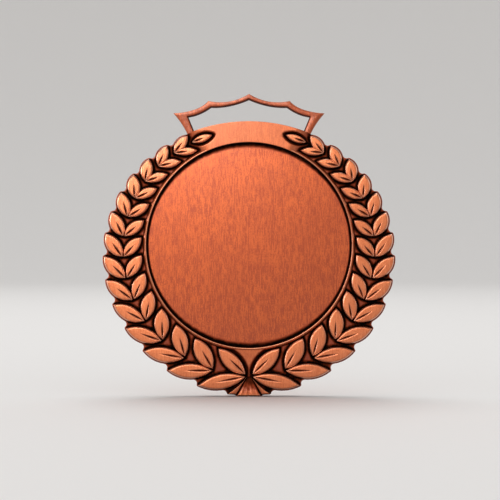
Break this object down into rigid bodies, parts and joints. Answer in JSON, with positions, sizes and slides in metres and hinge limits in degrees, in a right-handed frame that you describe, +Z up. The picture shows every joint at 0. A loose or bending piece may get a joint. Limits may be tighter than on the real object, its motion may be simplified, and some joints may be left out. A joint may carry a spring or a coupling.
{
  "type": "award medal",
  "caption": "Round award medal with an open laurel wreath, a blank recessed field and a scalloped fixed loop for a neck ribbon.",
  "frame": {"origin": "centre of the blank field, half way through the medal's thickness; it is also the centre of the whole medal's box", "axes": "+Z up towards the ribbon loop, -Y out of the medal's face, +X to the right as one looks at the face"},
  "size_m": [0.07, 0.0038, 0.0724],
  "materials": {
    "plate_metal": "antique copper, dark patina in the hollows",
    "leaf_metal": "antique copper, brushed and relieved on the high faces",
    "band_metal": "antique copper, brushed",
    "loop_metal": "antique copper, satin, darker than the face",
    "disc_metal": "antique copper, straight vertical brushing",
    "pad_adhesive": "thin double-sided adhesive pad"
  },
  "bodies": {
    "root": {"base_plate": "plate_metal", "adhesive_pad": "pad_adhesive", "centre_disc": "disc_metal", "bezel_ring": "band_metal", "top_band": "band_metal", "bottom_panel": "band_metal", "ribbon_loop": "loop_metal", "stem_tie": "leaf_metal", "left_top_leaf": "leaf_metal", "right_top_leaf": "leaf_metal", "left_leaf_pair_01": "leaf_metal", "left_leaf_pair_02": "leaf_metal", "left_leaf_pair_03": "leaf_metal", "left_leaf_pair_04": "leaf_metal", "left_leaf_pair_05": "leaf_metal", "left_leaf_pair_06": "leaf_metal", "left_leaf_pair_07": "leaf_metal", "left_leaf_pair_08": "leaf_metal", "left_leaf_pair_09": "leaf_metal", "left_leaf_pair_10": "leaf_metal", "left_leaf_pair_11": "leaf_metal", "left_leaf_pair_12": "leaf_metal", "left_leaf_pair_13": "leaf_metal", "left_leaf_pair_14": "leaf_metal", "right_leaf_pair_01": "leaf_metal", "right_leaf_pair_02": "leaf_metal", "right_leaf_pair_03": "leaf_metal", "right_leaf_pair_04": "leaf_metal", "right_leaf_pair_05": "leaf_metal", "right_leaf_pair_06": "leaf_metal", "right_leaf_pair_07": "leaf_metal", "right_leaf_pair_08": "leaf_metal", "right_leaf_pair_09": "leaf_metal", "right_leaf_pair_10": "leaf_metal", "right_leaf_pair_11": "leaf_metal", "right_leaf_pair_12": "leaf_metal", "right_leaf_pair_13": "leaf_metal", "right_leaf_pair_14": "leaf_metal"}
  },
  "joints": []
}
